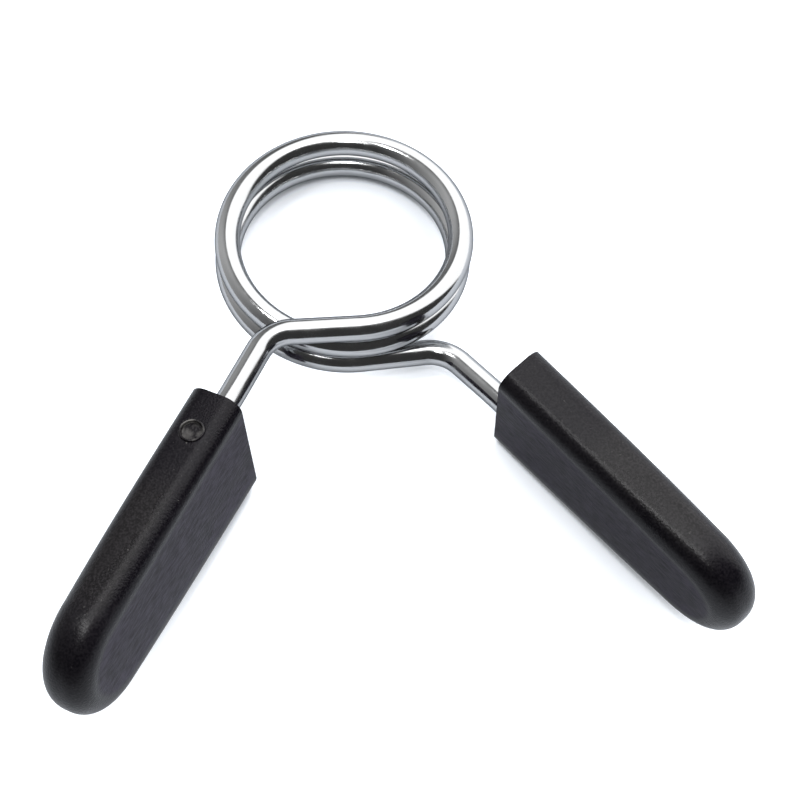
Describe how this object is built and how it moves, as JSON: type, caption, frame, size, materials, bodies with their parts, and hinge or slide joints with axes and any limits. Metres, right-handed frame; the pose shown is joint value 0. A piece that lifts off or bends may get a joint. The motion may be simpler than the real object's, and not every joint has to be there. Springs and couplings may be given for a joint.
{
  "type": "spring barbell collar",
  "caption": "Sprung wire collar that clamps plates on a weight bar: squeeze the black grips together and the chromed coil opens.",
  "frame": {"origin": "middle of the coil, on its axis", "axes": "+Z along the coil's axis, which is the bar's axis in use, out of the face where the left grip's leg leaves; -Y towards the grips; +X towards the right grip"},
  "size_m": [0.1488, 0.1343, 0.0394],
  "materials": {
    "chromed_wire": "polished chrome over spring steel",
    "grip_moulding": "fine matt black moulding with a faint purple-grey sheen"
  },
  "bodies": {
    "spring": {"spring_wire": "chromed_wire"},
    "left_handle": {"left_grip": "grip_moulding"},
    "right_handle": {"right_grip": "grip_moulding"}
  },
  "joints": [
    {"name": "left_squeeze", "type": "hinge", "parent": "spring", "child": "left_handle", "pos_m": [0, 0, 0], "axis": [0, 0, 1], "range_deg": [0, 24], "stiffness_Nm_per_rad": 67, "deforming": ["spring_wire"]},
    {"name": "right_squeeze", "type": "hinge", "parent": "spring", "child": "right_handle", "pos_m": [0, 0, 0], "axis": [0, 0, 1], "range_deg": [-24, 0], "stiffness_Nm_per_rad": 67, "deforming": ["spring_wire"]}
  ],
  "couplings": [
    {"joint": "right_squeeze", "follows": "left_squeeze", "ratio": -1}
  ]
}
